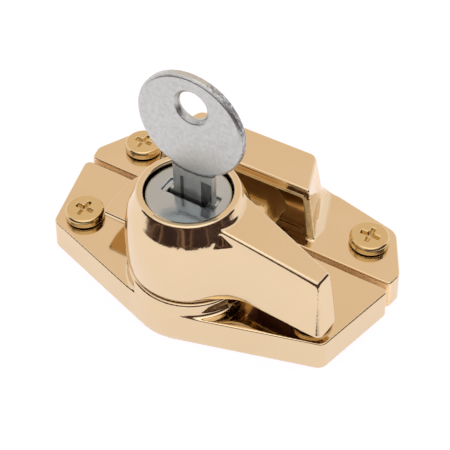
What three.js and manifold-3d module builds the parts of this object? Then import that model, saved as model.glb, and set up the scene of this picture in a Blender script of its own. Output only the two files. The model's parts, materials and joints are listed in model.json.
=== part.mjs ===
// Keyed window lock: a locking fitch fastener for a sliding sash window.
// Millimetres, +Z up. The origin is on the lever's pivot axis, in the plane of the fixing faces.
// +X points along the closed lever arm and +Y points from the base plate to the keeper plate.
import * as THREE from 'three';
import { ConvexGeometry } from 'three/addons/geometries/ConvexGeometry.js';
import { mergeVertices } from 'three/addons/utils/BufferGeometryUtils.js';
import Module from 'manifold-3d';

const wasm = await Module();
wasm.setup();

// ---- Driving dimensions ----
const GAP = 0.3; // running clearance between touching pieces
const ROUND = 56; // segments of a large round
const OVERSHOOT = 1; // how far a cutting tool or a joined part runs past a face
const SMALL_ROUND = 28; // segments of a small round
const SCREW_ROUND = 40;
const HOLE_ROUND = 36; // segments of the key's hole and a screw's head
const FULL_TURN = Math.PI * 2;
const RAD = Math.PI / 180;

const PLATE_TOP = 6.0; // height of both plates
const PLATE_DRAFT = 0.45; // how far the foot stands out from the top edge
const PLATE_EDGE = 0.35; // chamfer along the top edge
const PLATE_WALL = 2.0; // thickness of a plate's side wall
const PLATE_CEILING = 3.6; // height of the hollow under a plate

const BASE_REAR_Y = 12.9; // rear edge of the base plate
const BASE_REAR_X = 32.5; // half length of the base plate's rear edge
const BASE_SIDE_X = 27.6; // half length between the front corners
const BASE_SIDE_Y = -3.4;
const BASE_APEX_Y = -11.66; // where the two front edges would meet
const APEX_RADIUS = 11.17; // the front is rounded about the pivot
const BASE_SIDE_ROUND = 1.7;
const BASE_REAR_ROUND = 1.0;

const COLLAR_TOP = 8.7; // raised collar that carries the lever
const COLLAR_SIDE = [[10.15, 1.0], [11.15, 4.5], [10.9, 8.25], [10.45, COLLAR_TOP]]; // [radius, height]
const HUB_TOP = 12.1; // locking hub inside the lever
const HUB_RADIUS = 8.4;
const HUB_BORE = 6.7;
const HUB_NOTCH_WIDTH = 4.6; // takes the nose of the locking bolt
const HUB_NOTCH_FLOOR = 9.4;
const BOSS_UNDERSIDE = 4.6; // face that the spring washer bears on
const LEVER_SWING = 135 * RAD; // closed to open

const KEEPER_FRONT_Y = 14.1;
const KEEPER_FRONT_X = 31.6;
const KEEPER_FRONT_ROUND = 0.8;
const KEEPER_ROUND = 2.0;
const KEEPER_CORNER_ROUND = 3.0;
const KEEPER_SIDE = [32.3, 17.6];
const KEEPER_REAR_CORNER = [27.6, 25.9];
const KEEPER_REAR = [14.5, 28.9];
// Corners of the hood: its skirt inside the plate, its shoulder and its flat top.
const HOOD_OUTER = [
  [-18.6, 16.4, 5.0],
  [15.8, 16.4, 5.0],
  [14.4, 28.7, 5.0],
  [-17.2, 28.7, 5.0],
  [-16.6, 17.0, 16.6],
  [13.6, 17.0, 16.6],
  [11.1, 26.2, 16.3],
  [-14.1, 26.2, 16.3],
  [-16.1, 17.5, 17.1],
  [13.1, 17.5, 17.1],
  [10.3, 25.3, 17.1],
  [-13.3, 25.3, 17.1],
];
const HOOD_CAVITY = [
  [-15.8, 18.2, PLATE_TOP],
  [12.95, 18.2, PLATE_TOP],
  [10.2, 25.8, PLATE_TOP],
  [-13.2, 25.8, PLATE_TOP],
  [-15.2, 18.2, 15.5],
  [12.35, 18.2, 15.5],
  [9.3, 24.4, 15.5],
  [-12.3, 24.4, 15.5],
];
const HOOD_MOUTH = [[-15.2, 12.35], [15.0, 18.6], [PLATE_TOP, 14.6]]; // opening for the cam

const BASE_SCREW = [23.4, 0.6];
const KEEPER_SCREW = [24.3, 21.2];
const SCREW_HOLE_RADIUS = 2.2;
const SCREW_SHANK_RADIUS = 1.75;
const SCREW_HEAD_SIDE = [[3.5, 0], [3.6, 0.25], [3.6, 0.8], [3.35, 1.3], [2.7, 1.68]]; // [radius, rise]
const SCREW_HEAD_TOP = 8.1;
const SCREW_TIP = 0.4;
const SCREW_POINT_RADIUS = 1.35;
const SCREW_POINT_LENGTH = 0.6;
const SCREW_POST_RADIUS = 4.2;
const SCREW_POST_FOOT = 1.0;
const RECESS_LENGTH = 4.2; // cross recess in the head
const RECESS_WIDTH = 0.9;
const RECESS_DEPTH = 1.1;

const LEVER_FOOT = 9.1;
const RING_TOP = 25.3; // bright ring round the lock
const RING_RADIUS = 8.6;
const RING_EDGE = 0.2;
const LEVER_BORE = 7.4;
const LEVER_FLOOR_TOP = 14.2;
const LEVER_FLOOR_UNDERSIDE = 12.6;
const LEVER_CAVITY = 8.8; // clears the hub
const TAIL_HOLE = 3.2;
// Boss profile, as [radius, height] from the foot up to the ring's outer edge.
const BOSS_SIDE = [
  [10.3, LEVER_FOOT],
  [10.6, 9.4],
  [10.9, 10.2],
  [11.05, 11.8],
  [11.05, 13.6],
  [10.95, 16.0],
  [10.72, 18.5],
  [10.45, 20.2],
  [10.24, 21.2],
  [10.0, 21.9],
  [RING_RADIUS, RING_TOP - RING_EDGE],
];
const ARM_TIP = {
  ridge: [24.9, -1.7, 18.05],
  back: [25.3, 1.66, 17.75],
  frontFoot: [27.5, -5.0, LEVER_FOOT],
  backFoot: [28.0, 0.6, LEVER_FOOT],
};
const ARM_ROOT = {
  ridge: [7.0, -4.45, 24.2],
  back: [7.0, 5.0, 24.2],
  frontFoot: [8.0, -4.15, LEVER_FOOT],
  backFoot: [8.0, 5.4, LEVER_FOOT],
};
const ARM_HOLLOW = {
  mouth: [[12.6, -2.5], [12.6, 3.0], [26.0, -1.4], [25.4, -3.0]],
  roof: [[13.2, -1.6, 19.2], [13.2, 1.6, 19.2], [22.8, -0.9, 15.0], [22.8, 0.1, 15.0]],
};
// Webs that fill the corners between the boss and the arm's flanks. Each end is a concave arc
// from the boss to the flank, which lies at the angle flank (degrees) from the arc's centre.
const WEB_TOP = 20.5;
const FRONT_WEB = [
  { centre: [13.9, -12.4], radius: 8.0, flank: 87.5 },
  { centre: [13.75, -10.53], radius: 7.0, flank: 97.4 },
];
const REAR_WEB = [
  { centre: [12.97, 10.38], radius: 6.0, flank: -103.5 },
  { centre: [12.85, 10.03], radius: 6.0, flank: -100.3 },
];
const WEB_STEPS = 8;

const CAM_UNDERSIDE = 10.2; // spiral cam that passes under the keeper's hood
const CAM_TOP = 12.4;
const CAM_START = 51; // degrees, at the ramped end
const CAM_END = 183;
const CAM_ROOT_RADIUS = 9.6;
// Outer radii, evenly spaced from start to end.
const CAM_RADII = [20.0, 20.3, 20.5, 20.5, 20.5, 20.5, 20.4, 19.1, 17.8];
const CAM_RAMP = { top: 6.7, foot: 10.1 }; // the leading end slopes down over this length
const CAM_CREST_X = -3; // beyond it the top falls away toward the trailing end
const CAM_TRAILING_TOP = 11.2;
const CAM_TRAILING_Y = -2; // just past the trailing end
const CAM_EASING = 0.3; // how much the radii ease in and out of each step
const CAM_STEPS = 38;
const CAM_ROOT_STEPS = 10;

const SPINDLE_RADIUS = 6.3;
const SPINDLE_TOP = 12.3;
const SPINDLE_FOOT = 0.6;
const SPINDLE_CHAMFER = 0.4;
const GROOVE_RADIUS = 5.3;
const GROOVE = [1.2, 2.4];
const CHANNEL_HALF_WIDTH = 3.2;
const CHANNEL_FLOOR = 9.5;
const CLIP = { inner: 5.6, outer: 8.1, low: 1.5, high: 2.1, opening: 7.0 };
const WASHER = { inner: 6.6, outer: 8.8, low: 2.4, high: 3.1 };
const SPRING_WASHER = { inner: 6.6, outer: 8.8, low: 3.4, rise: 0.45, thickness: 0.4 };
const SPINDLE_SCREW_Y = 4.7;
const SPINDLE_SCREW = { shank: 0.9, hole: 1.1, head: 1.5, tip: 8.0, headLow: 14.5, headTop: 15.4 };
const SPINDLE_SCREW_EDGE = 0.2;
const DRIVER_SLOT = { half: 0.25, depth: 0.4 };

const BOLT = { low: 9.8, high: 11.7, tail: -4.9, shoulder: 3.6, nose: 6.0, bodyHalf: 2.9, noseHalf: 1.9 };
const ECCENTRIC = 1.63; // radius at which the drive pin runs
const DRIVE_PIN_RADIUS = 0.8;
const DRIVE_PIN_ANGLE = 135 * RAD; // unlocked

const HOUSING = {
  outer: 7.0,
  inner: 5.75,
  low: 15.8,
  high: 22.9,
  groove: 6.4,
  grooveHalf: 2.9,
  grooveEnd: 0.8,
};
const PLUG = { radius: 5.45, low: 15.9, face: 24.6, flange: 23.2 };
const PLUG_DISC = [[7.1, 24.15], [6.85, 24.4], [4.3, 24.55]]; // crowned face, as [radius, height]
const PLUG_TAIL = { radius: 2.9, low: 12.6, pinFoot: 10.1 };
const KEYWAY = { halfWidth: 3.6, halfThickness: 1.1, low: 15.4 };
const FACE_SLOT = { left: -4.3, right: 5.3, halfWidth: 1.5, low: 23.9 };
const WAFER_LEVELS = [17.0, 18.6, 20.2, 21.8];
const WAFER = { halfLength: 4.8, halfWidth: 2.2, thickness: 0.5, windowHalf: 3.6, windowHalfThickness: 1.1 };
const SET_SCREW = { radius: 0.8, inner: 6.2, outer: 9.9, height: 18.6, hole: [6.2, 14], dimple: [5, 9] };

const KEY_THICKNESS = 1.6;
const BOW = { radius: 9.3, x: 0.95, z: 39.37, holeRadius: 2.65, holeRise: 3.93, holeX: 1.45, edge: 0.3 };
const NECK = { left: -2.6, right: 5.05, low: 24.3, high: 31.5 };
const BLADE = { halfWidth: 3.3, tip: 15.9, point: 1.2, cut: 0.5, cutHeight: 0.9, lap: 0.2 };

// ---- Finishes ----
const brass = { color: 0xdfb98a, roughness: 0.16, metalness: 1.0 };
const screwBrass = { color: 0xd9b06c, roughness: 0.2, metalness: 1.0 };
const zinc = { color: 0xa9acab, roughness: 0.35, metalness: 1.0 };
const steel = { color: 0x8d8f92, roughness: 0.4, metalness: 1.0 };

// ---- Solid helpers ----
function solid(geometry) {
  const bare = geometry.index ? geometry.toNonIndexed() : geometry.clone();
  bare.deleteAttribute('normal');
  bare.deleteAttribute('uv');
  const merged = mergeVertices(bare, 1e-5);
  const mesh = new wasm.Mesh({
    numProp: 3,
    vertProperties: new Float32Array(merged.attributes.position.array),
    triVerts: new Uint32Array(merged.index.array),
  });
  return new wasm.Manifold(mesh);
}

function join(...pieces) {
  return pieces.reduce((sum, piece) => sum.add(piece));
}

function cut(body, ...tools) {
  return tools.reduce((rest, tool) => rest.subtract(tool), body);
}

function box(x, y, z) {
  const geometry = new THREE.BoxGeometry(x[1] - x[0], y[1] - y[0], z[1] - z[0]);
  geometry.translate((x[0] + x[1]) / 2, (y[0] + y[1]) / 2, (z[0] + z[1]) / 2);
  return solid(geometry);
}

function cylinder(radius, low, high, centre = [0, 0], segments = ROUND) {
  const geometry = new THREE.CylinderGeometry(radius, radius, high - low, segments);
  geometry.rotateX(Math.PI / 2);
  geometry.translate(centre[0], centre[1], (low + high) / 2);
  return solid(geometry);
}

function crossCylinder(radius, from, to, centre, segments = SMALL_ROUND) {
  const geometry = new THREE.CylinderGeometry(radius, radius, to - from, segments);
  geometry.translate(centre[0], (from + to) / 2, centre[1]);
  return solid(geometry);
}

// A closed profile of [radius, height] points, turned about Z.
function turned(profile, segments = ROUND) {
  const points = profile.map(([radius, height]) => new THREE.Vector2(radius, height));
  const geometry = new THREE.LatheGeometry(points, segments);
  geometry.rotateX(Math.PI / 2);
  const body = solid(geometry);
  if (body.volume() > 0) return body;
  const index = geometry.index.array;
  for (let i = 0; i < index.length; i += 3) [index[i], index[i + 1]] = [index[i + 1], index[i]];
  return solid(geometry);
}

function hull(points) {
  return solid(new ConvexGeometry(points.map((point) => new THREE.Vector3(...point))));
}

function prism(outline, low, high) {
  const shape = new THREE.Shape(outline.map(([x, y]) => new THREE.Vector2(x, y)));
  const geometry = new THREE.ExtrudeGeometry(shape, { depth: high - low, bevelEnabled: false });
  geometry.translate(0, 0, low);
  return solid(geometry);
}

// A solid between two outlines of as many points, anticlockwise from above.
function loft(lower, upper, low, high) {
  const count = lower.length;
  const points = [...atHeight(lower, low), ...atHeight(upper, high)];
  const faces = [];
  for (let i = 0; i < count; i += 1) {
    const next = (i + 1) % count;
    faces.push(i, next, count + next, i, count + next, count + i);
  }
  const flat = (outline) => outline.map(([x, y]) => new THREE.Vector2(x, y));
  THREE.ShapeUtils.triangulateShape(flat(lower), []).forEach(([a, b, c]) => faces.push(a, c, b));
  THREE.ShapeUtils.triangulateShape(flat(upper), [])
    .forEach((face) => faces.push(...face.map((corner) => corner + count)));
  const geometry = new THREE.BufferGeometry();
  geometry.setAttribute('position', new THREE.Float32BufferAttribute(points.flat(), 3));
  geometry.setIndex(faces);
  return solid(geometry);
}

// A convex outline with each corner [x, y, radius] rounded by an arc.
function roundedOutline(corners, steps = 8) {
  const outline = [];
  corners.forEach((corner, i) => {
    const here = new THREE.Vector2(corner[0], corner[1]);
    const before = corners[(i + corners.length - 1) % corners.length];
    const after = corners[(i + 1) % corners.length];
    const back = new THREE.Vector2(before[0], before[1]).sub(here).normalize();
    const ahead = new THREE.Vector2(after[0], after[1]).sub(here).normalize();
    const half = Math.acos(back.dot(ahead)) / 2;
    const toCentre = back.clone().add(ahead).normalize().multiplyScalar(corner[2] / Math.sin(half));
    const centre = here.clone().add(toCentre);
    const reach = corner[2] / Math.tan(half);
    const start = here.clone().addScaledVector(back, reach).sub(centre);
    const end = here.clone().addScaledVector(ahead, reach).sub(centre);
    const sweep = Math.atan2(start.cross(end), start.dot(end));
    for (let k = 0; k <= steps; k += 1) {
      const point = start.clone().rotateAround(new THREE.Vector2(), (sweep * k) / steps).add(centre);
      outline.push([point.x, point.y]);
    }
  });
  return outline;
}

// Moves a convex outline's points straight inward by a distance.
function inset(outline, distance) {
  return outline.map(([x, y], i) => {
    const before = outline[(i + outline.length - 1) % outline.length];
    const after = outline[(i + 1) % outline.length];
    const along = new THREE.Vector2(after[0] - before[0], after[1] - before[1]).normalize();
    return [x - along.y * distance, y + along.x * distance];
  });
}

function atHeight(outline, z) {
  return outline.map(([x, y]) => [x, y, z]);
}

// A hollow plate with drafted sides and a chamfered top edge, from its top outline.
function hollowPlate(outline) {
  const outer = hull([
    ...atHeight(inset(outline, -PLATE_DRAFT), 0),
    ...atHeight(inset(outline, -PLATE_EDGE / 4), PLATE_TOP - PLATE_EDGE),
    ...atHeight(inset(outline, PLATE_EDGE), PLATE_TOP),
  ]);
  const hollow = hull([
    ...atHeight(inset(outline, PLATE_WALL - PLATE_DRAFT), -OVERSHOOT),
    ...atHeight(inset(outline, PLATE_WALL), PLATE_CEILING),
  ]);
  return cut(outer, hollow);
}

function screwPost([x, y]) {
  return cylinder(SCREW_POST_RADIUS, SCREW_POST_FOOT, PLATE_TOP - OVERSHOOT, [x, y], SMALL_ROUND);
}

function screwHole([x, y]) {
  return cylinder(SCREW_HOLE_RADIUS, -OVERSHOOT, PLATE_TOP + OVERSHOOT, [x, y], SMALL_ROUND);
}

const mirrored = ([x, y]) => [-x, y];

// ---- Base plate ----
function basePlate() {
  const outline = roundedOutline([
    [-BASE_SIDE_X, BASE_SIDE_Y, BASE_SIDE_ROUND],
    [0, BASE_APEX_Y, APEX_RADIUS],
    [BASE_SIDE_X, BASE_SIDE_Y, BASE_SIDE_ROUND],
    [BASE_REAR_X, BASE_REAR_Y, BASE_REAR_ROUND],
    [-BASE_REAR_X, BASE_REAR_Y, BASE_REAR_ROUND],
  ]);
  const collar = turned([
    [0, COLLAR_SIDE[0][1]],
    ...COLLAR_SIDE,
    [0, COLLAR_TOP],
  ]);
  const hub = cylinder(HUB_RADIUS, COLLAR_TOP - OVERSHOOT, HUB_TOP);
  const half = HUB_NOTCH_WIDTH / 2;
  const notch = box([0, HUB_RADIUS + OVERSHOOT], [-half, half], [HUB_NOTCH_FLOOR, HUB_TOP + OVERSHOOT]);
  const openNotch = notch.rotate([0, 0, -LEVER_SWING / RAD]);
  const posts = join(screwPost(BASE_SCREW), screwPost(mirrored(BASE_SCREW)));
  const body = join(hollowPlate(outline), collar, hub, posts);
  return cut(
    body,
    cylinder(HUB_BORE, -OVERSHOOT, HUB_TOP + OVERSHOOT),
    cylinder(APEX_RADIUS - PLATE_WALL, -OVERSHOOT, BOSS_UNDERSIDE),
    notch,
    openNotch,
    screwHole(BASE_SCREW),
    screwHole(mirrored(BASE_SCREW)),
  );
}

// ---- Keeper plate with its hood ----
function keeperPlate() {
  const outline = roundedOutline([
    [-KEEPER_FRONT_X, KEEPER_FRONT_Y, KEEPER_FRONT_ROUND],
    [KEEPER_FRONT_X, KEEPER_FRONT_Y, KEEPER_FRONT_ROUND],
    [...KEEPER_SIDE, KEEPER_ROUND],
    [...KEEPER_REAR_CORNER, KEEPER_CORNER_ROUND],
    [...KEEPER_REAR, KEEPER_ROUND],
    [...mirrored(KEEPER_REAR), KEEPER_ROUND],
    [...mirrored(KEEPER_REAR_CORNER), KEEPER_CORNER_ROUND],
    [...mirrored(KEEPER_SIDE), KEEPER_ROUND],
  ]);
  const posts = join(screwPost(KEEPER_SCREW), screwPost(mirrored(KEEPER_SCREW)));
  const body = join(hollowPlate(outline), hull(HOOD_OUTER), posts);
  return cut(
    body,
    hull(HOOD_CAVITY),
    box(...HOOD_MOUTH),
    screwHole(KEEPER_SCREW),
    screwHole(mirrored(KEEPER_SCREW)),
  );
}

// ---- Pan-head fixing screw with a cross recess ----
function fixingScrew() {
  const under = PLATE_TOP + GAP;
  const body = turned([
    [0, SCREW_TIP],
    [SCREW_POINT_RADIUS, SCREW_TIP],
    [SCREW_SHANK_RADIUS, SCREW_TIP + SCREW_POINT_LENGTH],
    [SCREW_SHANK_RADIUS, under],
    ...SCREW_HEAD_SIDE.map(([radius, rise]) => [radius, under + rise]),
    [0, SCREW_HEAD_TOP],
  ], SCREW_ROUND);
  const arm = RECESS_LENGTH / 2;
  const half = RECESS_WIDTH / 2;
  const depth = [SCREW_HEAD_TOP - RECESS_DEPTH, SCREW_HEAD_TOP + OVERSHOOT];
  return cut(body, box([-arm, arm], [-half, half], depth), box([-half, half], [-arm, arm], depth));
}

// ---- Lever: boss, arm and spiral cam in one casting ----
function leverBoss() {
  return turned([
    [LEVER_CAVITY, LEVER_FOOT],
    ...BOSS_SIDE,
    [RING_RADIUS - RING_EDGE, RING_TOP],
    [LEVER_BORE + RING_EDGE, RING_TOP],
    [LEVER_BORE, RING_TOP - RING_EDGE],
    [LEVER_BORE, LEVER_FLOOR_TOP],
    [TAIL_HOLE, LEVER_FLOOR_TOP],
    [TAIL_HOLE, LEVER_FLOOR_UNDERSIDE],
    [LEVER_CAVITY, LEVER_FLOOR_UNDERSIDE],
    [LEVER_CAVITY, LEVER_FOOT],
  ]);
}

function leverArm() {
  const outer = hull([...Object.values(ARM_TIP), ...Object.values(ARM_ROOT)]);
  const hollow = hull([...atHeight(ARM_HOLLOW.mouth, LEVER_FOOT - OVERSHOOT), ...ARM_HOLLOW.roof]);
  return { outer, hollow };
}

function webOutline({ centre, radius, flank }) {
  const toFlank = flank * RAD;
  const toBoss = Math.atan2(-centre[1], -centre[0]);
  const sweep = THREE.MathUtils.euclideanModulo(toBoss - toFlank + Math.PI, FULL_TURN) - Math.PI;
  const outline = [];
  for (let k = 0; k <= WEB_STEPS; k += 1) {
    const turn = toFlank + (sweep * k) / WEB_STEPS;
    outline.push([centre[0] + radius * Math.cos(turn), centre[1] + radius * Math.sin(turn)]);
  }
  outline.push([LEVER_CAVITY, 0], [centre[0], 0]);
  return sweep > 0 ? outline.reverse() : outline;
}

function web([foot, top]) {
  return loft(webOutline(foot), webOutline(top), LEVER_FOOT, WEB_TOP);
}

function camRadius(angle) {
  const place = ((angle - CAM_START) / (CAM_END - CAM_START)) * (CAM_RADII.length - 1);
  const step = Math.min(Math.floor(place), CAM_RADII.length - 2);
  const part = place - step;
  const blend = THREE.MathUtils.lerp(part, THREE.MathUtils.smoothstep(part, 0, 1), CAM_EASING);
  return THREE.MathUtils.lerp(CAM_RADII[step], CAM_RADII[step + 1], blend);
}

function leverCam() {
  const outline = [];
  for (let k = 0; k <= CAM_STEPS; k += 1) {
    const angle = THREE.MathUtils.lerp(CAM_START, CAM_END, k / CAM_STEPS);
    const radius = camRadius(angle);
    outline.push([radius * Math.cos(angle * RAD), radius * Math.sin(angle * RAD)]);
  }
  for (let k = 0; k <= CAM_ROOT_STEPS; k += 1) {
    const angle = THREE.MathUtils.lerp(CAM_END, CAM_START, k / CAM_ROOT_STEPS) * RAD;
    outline.push([CAM_ROOT_RADIUS * Math.cos(angle), CAM_ROOT_RADIUS * Math.sin(angle)]);
  }
  const reach = Math.max(...CAM_RADII) + OVERSHOOT;
  const envelope = hull([CAM_TRAILING_Y, reach].flatMap((y) => [
    [-reach, y, CAM_UNDERSIDE],
    [-reach, y, CAM_TRAILING_TOP],
    [CAM_CREST_X, y, CAM_TOP],
    [CAM_RAMP.top, y, CAM_TOP],
    [CAM_RAMP.foot, y, CAM_UNDERSIDE],
  ]));
  return prism(outline, CAM_UNDERSIDE, CAM_TOP).intersect(envelope);
}

function leverHandle() {
  const arm = leverArm();
  const bore = cylinder(LEVER_BORE, LEVER_FLOOR_TOP, RING_TOP + OVERSHOOT);
  const cavity = cylinder(LEVER_CAVITY, LEVER_FOOT - OVERSHOOT, LEVER_FLOOR_UNDERSIDE);
  const screwHoles = [1, -1].map((side) =>
    cylinder(SPINDLE_SCREW.shank + GAP, LEVER_FLOOR_UNDERSIDE - OVERSHOOT, LEVER_FLOOR_TOP + OVERSHOOT,
      [0, side * SPINDLE_SCREW_Y], SMALL_ROUND));
  const setScrewHole = crossCylinder(SET_SCREW.radius + GAP, ...SET_SCREW.hole, [0, SET_SCREW.height]);
  const arms = join(arm.outer, web(FRONT_WEB), web(REAR_WEB));
  const body = join(leverBoss(), cut(arms, bore, cavity), cut(leverCam(), cavity));
  return cut(body, arm.hollow, setScrewHole, ...screwHoles);
}

// ---- Pivot: spindle, washers and clip ----
function pivotSpindle() {
  const body = turned([
    [0, SPINDLE_FOOT],
    [SPINDLE_RADIUS - SPINDLE_CHAMFER, SPINDLE_FOOT],
    [SPINDLE_RADIUS, SPINDLE_FOOT + SPINDLE_CHAMFER],
    [SPINDLE_RADIUS, GROOVE[0]],
    [GROOVE_RADIUS, GROOVE[0]],
    [GROOVE_RADIUS, GROOVE[1]],
    [SPINDLE_RADIUS, GROOVE[1]],
    [SPINDLE_RADIUS, SPINDLE_TOP],
    [0, SPINDLE_TOP],
  ]);
  const reach = SPINDLE_RADIUS + OVERSHOOT;
  const channel = box(
    [-reach, reach],
    [-CHANNEL_HALF_WIDTH, CHANNEL_HALF_WIDTH],
    [CHANNEL_FLOOR, SPINDLE_TOP + OVERSHOOT],
  );
  const threads = [1, -1].map((side) =>
    cylinder(SPINDLE_SCREW.hole, SPINDLE_SCREW.tip - GAP, SPINDLE_TOP + OVERSHOOT,
      [0, side * SPINDLE_SCREW_Y], SMALL_ROUND));
  return cut(body, channel, ...threads);
}

function ring({ inner, outer, low, high }) {
  return cut(cylinder(outer, low, high), cylinder(inner, low - OVERSHOOT, high + OVERSHOOT));
}

function retainingClip() {
  const half = CLIP.opening / 2;
  const opening = box(
    [-half, half],
    [-CLIP.outer - OVERSHOOT, 0],
    [CLIP.low - OVERSHOOT, CLIP.high + OVERSHOOT],
  );
  return cut(ring(CLIP), opening);
}

function springWasher() {
  const { inner, outer, low, rise, thickness } = SPRING_WASHER;
  return turned([
    [inner, low],
    [outer, low + rise],
    [outer, low + rise + thickness],
    [inner, low + thickness],
    [inner, low],
  ]);
}

function spindleScrew() {
  const { shank, head, tip, headLow, headTop } = SPINDLE_SCREW;
  const body = turned([
    [0, tip],
    [shank, tip + SPINDLE_SCREW_EDGE],
    [shank, headLow],
    [head, headLow],
    [head, headTop - SPINDLE_SCREW_EDGE],
    [head - SPINDLE_SCREW_EDGE, headTop],
    [0, headTop],
  ], SMALL_ROUND);
  const slot = box(
    [-head - OVERSHOOT, head + OVERSHOOT],
    [-DRIVER_SLOT.half, DRIVER_SLOT.half],
    [headTop - DRIVER_SLOT.depth, headTop + OVERSHOOT],
  );
  return cut(body, slot);
}

// ---- Locking bolt, driven by the plug's eccentric pin ----
function lockingBolt() {
  const body = box([BOLT.tail, BOLT.shoulder], [-BOLT.bodyHalf, BOLT.bodyHalf], [BOLT.low, BOLT.high]);
  const nose = box(
    [BOLT.shoulder - OVERSHOOT, BOLT.nose],
    [-BOLT.noseHalf, BOLT.noseHalf],
    [BOLT.low, BOLT.high],
  );
  const pinX = ECCENTRIC * Math.cos(DRIVE_PIN_ANGLE);
  const slotHalf = DRIVE_PIN_RADIUS + GAP;
  const slot = box(
    [pinX - slotHalf, pinX + slotHalf],
    [0, BOLT.bodyHalf + OVERSHOOT],
    [BOLT.low - OVERSHOOT, BOLT.high + OVERSHOOT],
  );
  return cut(join(body, nose), slot);
}

// ---- Cylinder lock ----
function lockHousing() {
  const { outer, low, high, inner, groove, grooveHalf, grooveEnd } = HOUSING;
  const tube = cut(cylinder(outer, low, high), cylinder(inner, low - OVERSHOOT, high + OVERSHOOT));
  const grooves = box([-groove, groove], [-grooveHalf, grooveHalf], [low - OVERSHOOT, high - grooveEnd]);
  const dimple = crossCylinder(SET_SCREW.radius + GAP, ...SET_SCREW.dimple, [0, SET_SCREW.height]);
  return cut(tube, grooves, dimple);
}

function lockPlug() {
  const body = turned([
    [0, PLUG_TAIL.low],
    [PLUG_TAIL.radius, PLUG_TAIL.low],
    [PLUG_TAIL.radius, PLUG.low],
    [PLUG.radius, PLUG.low],
    [PLUG.radius, PLUG.flange],
    [PLUG_DISC[0][0], PLUG.flange],
    ...PLUG_DISC,
    [0, PLUG.face],
  ]);
  const pinPlace = [ECCENTRIC * Math.cos(DRIVE_PIN_ANGLE), ECCENTRIC * Math.sin(DRIVE_PIN_ANGLE)];
  const pin = cylinder(DRIVE_PIN_RADIUS, PLUG_TAIL.pinFoot, PLUG_TAIL.low + OVERSHOOT, pinPlace, SMALL_ROUND);
  const across = [-KEYWAY.halfThickness, KEYWAY.halfThickness];
  const keyway = box([-KEYWAY.halfWidth, KEYWAY.halfWidth], across, [KEYWAY.low, PLUG.face + OVERSHOOT]);
  const faceSlot = box(
    [FACE_SLOT.left, FACE_SLOT.right],
    [-FACE_SLOT.halfWidth, FACE_SLOT.halfWidth],
    [FACE_SLOT.low, PLUG.face + OVERSHOOT],
  );
  const reach = PLUG.radius + OVERSHOOT;
  const waferSlots = WAFER_LEVELS.map((level) => {
    const half = WAFER.thickness / 2 + GAP;
    const side = WAFER.halfWidth + GAP;
    return box([-reach, reach], [-side, side], [level - half, level + half]);
  });
  return cut(join(body, pin), keyway, faceSlot, ...waferSlots);
}

function wafer(level) {
  const half = WAFER.thickness / 2;
  const { halfLength, halfWidth } = WAFER;
  const plate = box([-halfLength, halfLength], [-halfWidth, halfWidth], [level - half, level + half]);
  const window = box(
    [-WAFER.windowHalf, WAFER.windowHalf],
    [-WAFER.windowHalfThickness, WAFER.windowHalfThickness],
    [level - OVERSHOOT, level + OVERSHOOT],
  );
  return cut(plate, window);
}

function setScrew() {
  const { radius, inner, outer, height } = SET_SCREW;
  return crossCylinder(radius, inner, outer, [0, height], SMALL_ROUND);
}

// ---- Key ----
function key() {
  const half = KEY_THICKNESS / 2;
  const bow = turned([
    [0, -half],
    [BOW.radius - BOW.edge, -half],
    [BOW.radius, -half + BOW.edge],
    [BOW.radius, half - BOW.edge],
    [BOW.radius - BOW.edge, half],
    [0, half],
  ]).rotate([90, 0, 0]).translate([BOW.x, 0, BOW.z]);
  const holeCentre = [BOW.holeX, BOW.z + BOW.holeRise];
  const hole = crossCylinder(BOW.holeRadius, -half - OVERSHOOT, half + OVERSHOOT, holeCentre, HOLE_ROUND);
  const neck = box([NECK.left, NECK.right], [-half, half], [NECK.low, NECK.high]);
  const { halfWidth, tip, point, cut: depth, cutHeight } = BLADE;
  const bladeBody = hull([-half, half].flatMap((y) => [
    [-halfWidth, y, NECK.low + BLADE.lap],
    [halfWidth, y, NECK.low + BLADE.lap],
    [halfWidth, y, tip + point],
    [halfWidth - point, y, tip],
    [-halfWidth + point, y, tip],
    [-halfWidth, y, tip + point],
  ]));
  const cuts = WAFER_LEVELS.flatMap((level, i) => {
    const side = i % 2 === 0 ? 1 : -1;
    const x = [side * (halfWidth - depth), side * (halfWidth + OVERSHOOT)].sort((a, b) => a - b);
    return [box(x, [-half - OVERSHOOT, half + OVERSHOOT], [level - cutHeight / 2, level + cutHeight / 2])];
  });
  return cut(join(bow, neck, bladeBody), hole, ...cuts);
}

// ---- Assembly ----
const assembly = new THREE.Group();

function place(name, body, finish, position = [0, 0, 0]) {
  const { vertProperties, triVerts } = body.getMesh();
  const geometry = new THREE.BufferGeometry();
  geometry.setAttribute('position', new THREE.Float32BufferAttribute(vertProperties, 3));
  geometry.setIndex(new THREE.Uint32BufferAttribute(triVerts, 1));
  geometry.computeVertexNormals();
  const mesh = new THREE.Mesh(geometry, new THREE.MeshStandardMaterial(finish));
  mesh.name = name;
  mesh.position.set(...position);
  assembly.add(mesh);
}

place('base_plate', basePlate(), brass);
place('keeper_plate', keeperPlate(), brass);
place('base_screw_left', fixingScrew(), screwBrass, [...mirrored(BASE_SCREW), 0]);
place('base_screw_right', fixingScrew(), screwBrass, [...BASE_SCREW, 0]);
place('keeper_screw_left', fixingScrew(), screwBrass, [...mirrored(KEEPER_SCREW), 0]);
place('keeper_screw_right', fixingScrew(), screwBrass, [...KEEPER_SCREW, 0]);

place('lever_handle', leverHandle(), brass);
place('pivot_spindle', pivotSpindle(), steel);
place('spindle_screw_front', spindleScrew(), steel, [0, -SPINDLE_SCREW_Y, 0]);
place('spindle_screw_rear', spindleScrew(), steel, [0, SPINDLE_SCREW_Y, 0]);
place('pivot_washer', ring(WASHER), steel);
place('spring_washer', springWasher(), steel);
place('retaining_clip', retainingClip(), steel);
place('lock_housing', lockHousing(), zinc);
place('housing_set_screw', setScrew(), steel);

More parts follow.
